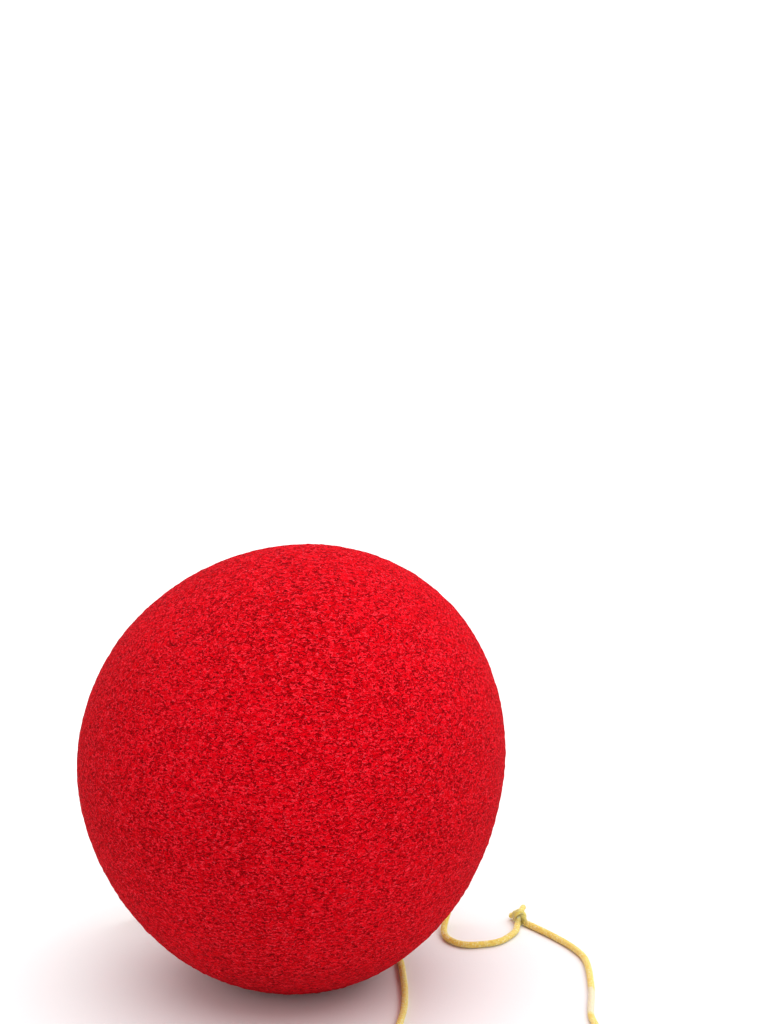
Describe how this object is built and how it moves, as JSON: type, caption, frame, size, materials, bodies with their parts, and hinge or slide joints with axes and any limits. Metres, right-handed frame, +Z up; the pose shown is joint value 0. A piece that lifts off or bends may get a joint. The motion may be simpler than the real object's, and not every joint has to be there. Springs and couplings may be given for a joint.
{
  "type": "clown nose",
  "caption": "Round red foam clown nose with a pocket in its back for the wearer's nose, threaded on a thin yellow elastic cord that is knotted into a loop.",
  "frame": {"origin": "on the surface that the ball lies on, under the middle of the ball's box", "axes": "+Z up, -Y towards the ball's round front, +Y towards the pocket for the wearer's nose"},
  "size_m": [0.0754, 0.1147, 0.0648],
  "materials": {
    "foam": "matte open-cell red sponge",
    "elastic": "yellow thread-covered elastic cord"
  },
  "bodies": {
    "root": {"foam_ball": "foam", "elastic": "elastic", "elastic_knot": "elastic"}
  },
  "joints": []
}
